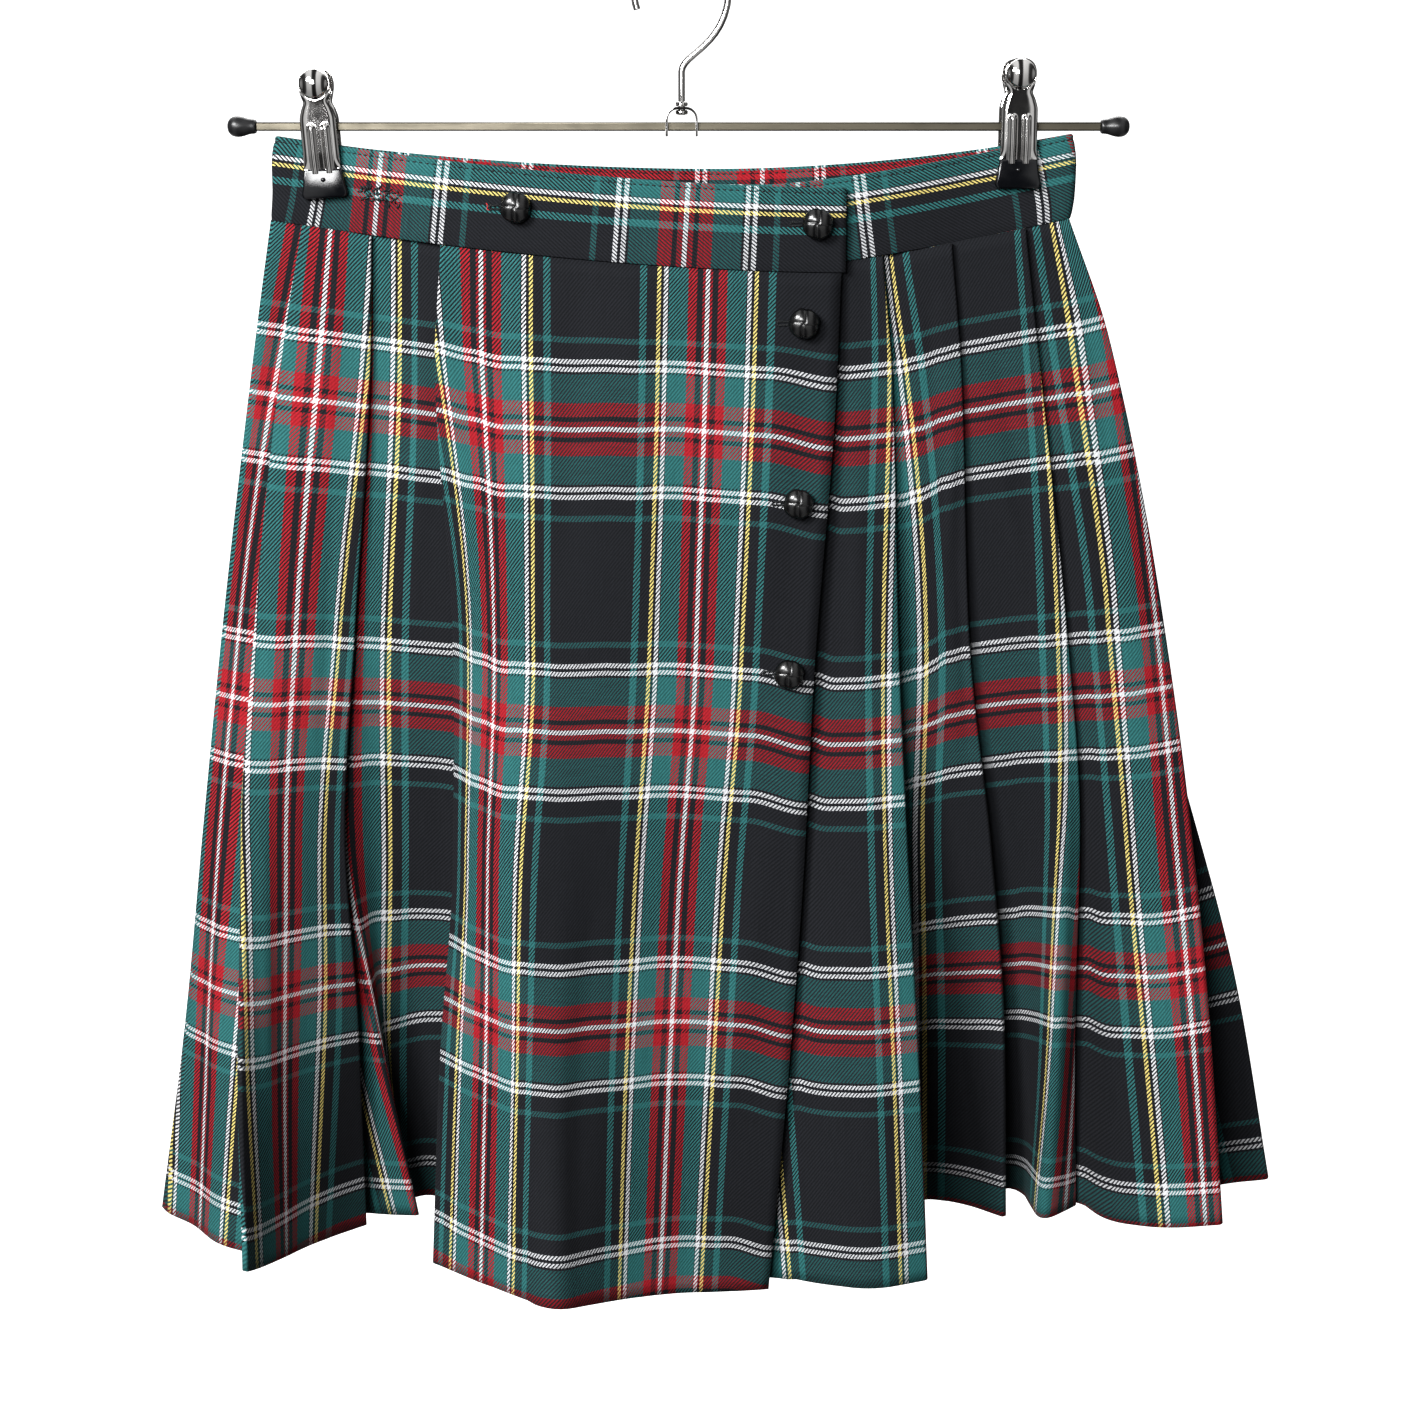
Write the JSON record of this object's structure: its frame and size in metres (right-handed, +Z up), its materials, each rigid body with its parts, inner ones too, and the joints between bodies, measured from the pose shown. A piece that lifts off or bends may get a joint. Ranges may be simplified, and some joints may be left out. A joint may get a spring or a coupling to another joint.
{
  "type": "pleated midi wrap skirt on a clip hanger",
  "caption": "Knee-length kilt-style pleated wrap skirt in dark tartan wool, buttoned at one side and hung by its waistband from a two-clip bar hanger.",
  "frame": {"origin": "inside top of the hanger's hook, where the rail carries it", "axes": "+Z up along the drop of the skirt, +X to the viewer's right along the bar, -Y towards the skirt's front"},
  "size_m": [0.5734, 0.169, 0.6559],
  "materials": {
    "tartan cloth": "matt worsted twill, black, green and red tartan with fine white and yellow lines",
    "tartan cloth across": "the same twill with its warp turned across",
    "black leather": "glossy knotted leather",
    "black rubber": "satin",
    "black vinyl": "glossy",
    "grey steel": "satin, olive-grey plating",
    "chrome": "bright plating"
  },
  "bodies": {
    "root": {"under_apron": "tartan cloth", "right_pleats": "tartan cloth", "back_right_pleats": "tartan cloth", "back_left_pleats": "tartan cloth", "left_pleats": "tartan cloth", "over_apron": "tartan cloth", "waistband": "tartan cloth across", "button_band_left": "black leather", "button_band_right": "black leather", "button_1": "black leather", "button_2": "black leather", "button_3": "black leather", "clip_left_front_plate": "chrome", "clip_left_back_plate": "chrome", "clip_left_sleeve": "chrome", "clip_left_front_pad": "black vinyl", "clip_left_back_pad": "black vinyl", "clip_right_front_plate": "chrome", "clip_right_back_plate": "chrome", "clip_right_sleeve": "chrome", "clip_right_front_pad": "black vinyl", "clip_right_back_pad": "black vinyl", "hanger_bar": "grey steel", "hanger_cap_left": "black rubber", "hanger_cap_right": "black rubber", "hanger_bracket": "chrome", "hanger_hook": "chrome"}
  },
  "joints": []
}
